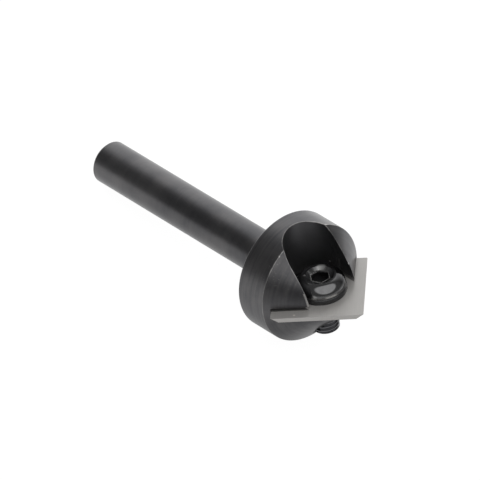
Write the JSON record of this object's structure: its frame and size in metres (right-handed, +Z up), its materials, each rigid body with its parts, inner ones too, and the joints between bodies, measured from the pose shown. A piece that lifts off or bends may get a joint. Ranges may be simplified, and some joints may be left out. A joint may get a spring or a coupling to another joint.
{
  "type": "v-groove router bit",
  "caption": "Straight-shank router bit with a conical head, a flat carbide insert with two edges at a right angle, and a clamp screw with its washer.",
  "frame": {"origin": "on the surface that the bit lies on, under the middle of its box", "axes": "+X towards the cutting tip, +Z up, and the rake face of the insert faces up. The bit's own axis lies in the XZ plane and rises towards the tip by 8.62 degrees, because the bit rests on the rear rim of its head and on the chamfer of its shank's end."},
  "size_m": [0.1082, 0.0366, 0.0359],
  "materials": {
    "black_oxide_steel": "turned and milled steel, black oxide, satin, bare along worn edges",
    "ground_carbide": "ground tungsten carbide, fine straight grinding lines",
    "washer_black": "black oxide, oiled, semi-gloss",
    "screw_black": "black oxide, oiled, glossy"
  },
  "bodies": {
    "root": {"tool_body": "black_oxide_steel", "carbide_insert": "ground_carbide", "clamp_washer": "washer_black", "clamp_screw": "screw_black"}
  },
  "joints": []
}
